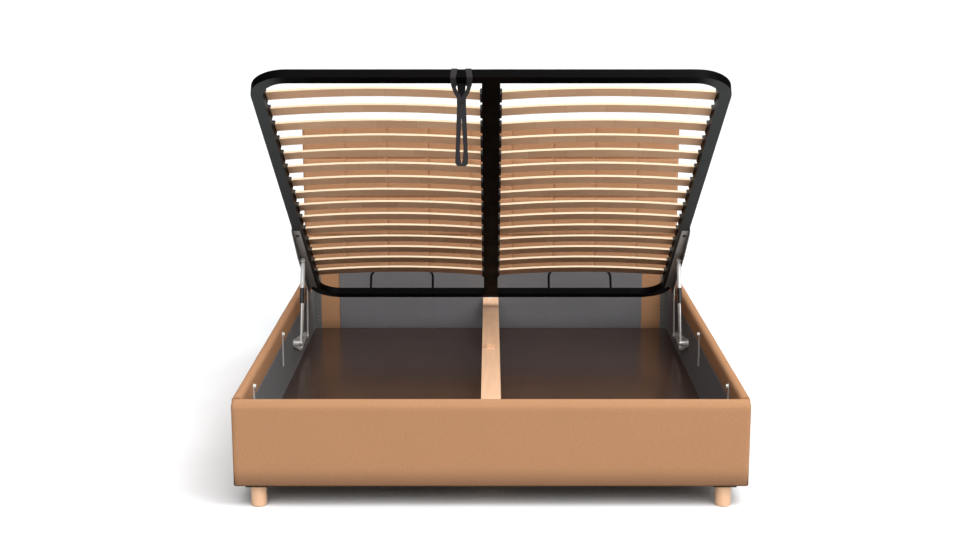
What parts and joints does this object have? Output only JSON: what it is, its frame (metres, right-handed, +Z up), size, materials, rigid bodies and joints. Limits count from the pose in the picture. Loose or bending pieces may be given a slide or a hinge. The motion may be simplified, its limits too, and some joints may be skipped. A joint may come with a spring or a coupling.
{
  "type": "upholstered storage bed",
  "caption": "Upholstered bed base with a tufted headboard and a slatted lid that lifts on side linkages with gas springs over a storage well.",
  "frame": {"origin": "on the floor, under the middle of the bed's whole length and width", "axes": "+Y from the foot end to the headboard, +Z up, +X to the right seen from the foot end"},
  "size_m": [1.698, 2.135, 1.4176],
  "materials": {
    "tan_fabric": "matte",
    "back_fabric": "matte",
    "grey_lining": "matte",
    "core_board": "matte",
    "dark_floor": "gloss",
    "pale_beech": "satin",
    "slat_birch": "satin",
    "black_steel": "satin",
    "black_plastic": "matte",
    "grey_webbing": "matte",
    "bracket_steel": "satin",
    "zinc_steel": "satin",
    "spring_shell": "satin",
    "spring_rod_steel": "polished",
    "dark_fastener": "satin"
  },
  "bodies": {
    "base": {"foot_board": "core_board", "foot_cover": "tan_fabric", "foot_lining": "grey_lining", "side_board_left": "core_board", "side_board_right": "core_board", "side_cover_left": "tan_fabric", "side_cover_right": "tan_fabric", "side_lining_left": "grey_lining", "side_lining_right": "grey_lining", "headboard_core": "core_board", "headboard_cover": "tan_fabric", "headboard_back": "back_fabric", "head_lining": "grey_lining", "floor_panel_left": "dark_floor", "floor_panel_right": "dark_floor", "floor_cleats": "core_board", "floor_joist": "core_board", "centre_board": "pale_beech", "centre_prop": "pale_beech", "rest_block": "pale_beech", "board_end_brackets": "zinc_steel", "foot_leg_left": "pale_beech", "foot_leg_right": "pale_beech", "head_leg_left": "pale_beech", "head_leg_right": "pale_beech", "centre_legs": "black_plastic", "leg_plates": "black_steel", "corner_angles_foot": "bracket_steel", "corner_angles_head": "bracket_steel", "side_guides_left": "zinc_steel", "side_guides_right": "zinc_steel", "base_plate_left": "zinc_steel", "base_plate_right": "zinc_steel", "base_screws": "dark_fastener", "base_pivot_pins": "zinc_steel"},
    "rear_links": {"rear_link_left": "zinc_steel", "rear_link_right": "zinc_steel"},
    "front_links": {"front_link_left": "zinc_steel", "front_link_right": "zinc_steel"},
    "gas_cylinders": {"gas_cylinder_left": "spring_shell", "gas_cylinder_right": "spring_shell"},
    "gas_rods": {"gas_rod_left": "spring_rod_steel", "gas_rod_right": "spring_rod_steel"},
    "lid": {"lid_frame": "black_steel", "centre_beam": "black_steel", "slat_set_1": "slat_birch", "slat_set_2": "slat_birch", "slat_set_3": "slat_birch", "slat_set_4": "slat_birch", "slat_set_5": "slat_birch", "slat_holders_left": "black_plastic", "slat_holders_right": "black_plastic", "slat_holders_centre": "black_plastic", "mattress_hoop_left": "black_steel", "mattress_hoop_right": "black_steel", "lift_strap": "grey_webbing", "upper_bracket_left": "bracket_steel", "upper_bracket_right": "bracket_steel", "lid_bolts": "dark_fastener", "lid_pivot_pins": "zinc_steel"}
  },
  "joints": [
    {"name": "rear_link_swing", "type": "hinge", "parent": "base", "child": "rear_links", "pos_m": [0, 0.6116, 0.1588], "axis": [1, 0, 0], "range_deg": [-56.18, 0]},
    {"name": "lid_tilt", "type": "hinge", "parent": "rear_links", "child": "lid", "pos_m": [0, 0.64666, 0.36654], "axis": [1, 0, 0], "range_deg": [0, 89.82], "stiffness_Nm_per_rad": 40, "springref_deg": -171.89, "deforming": ["lift_strap"]},
    {"name": "front_link_swing", "type": "hinge", "parent": "base", "child": "front_links", "pos_m": [0, 0.4316, 0.1523], "axis": [1, 0, 0], "range_deg": [-44.5, 0]},
    {"name": "gas_spring_swing", "type": "hinge", "parent": "lid", "child": "gas_cylinders", "pos_m": [0, 0.37601, 0.5378], "axis": [1, 0, 0], "range_deg": [-86.64, 0]},
    {"name": "gas_spring_stroke", "type": "slide", "parent": "gas_cylinders", "child": "gas_rods", "axis": [0, 0.4126, 0.9109], "range_m": [0, 0.1151]}
  ],
  "couplings": [
    {"joint": "lid_tilt", "follows": "rear_link_swing", "ratio": -1.5986},
    {"joint": "front_link_swing", "follows": "rear_link_swing", "ratio": 0.792},
    {"joint": "gas_spring_swing", "follows": "rear_link_swing", "ratio": 1.542},
    {"joint": "gas_spring_stroke", "follows": "rear_link_swing", "m_per_rad": -0.11729}
  ]
}
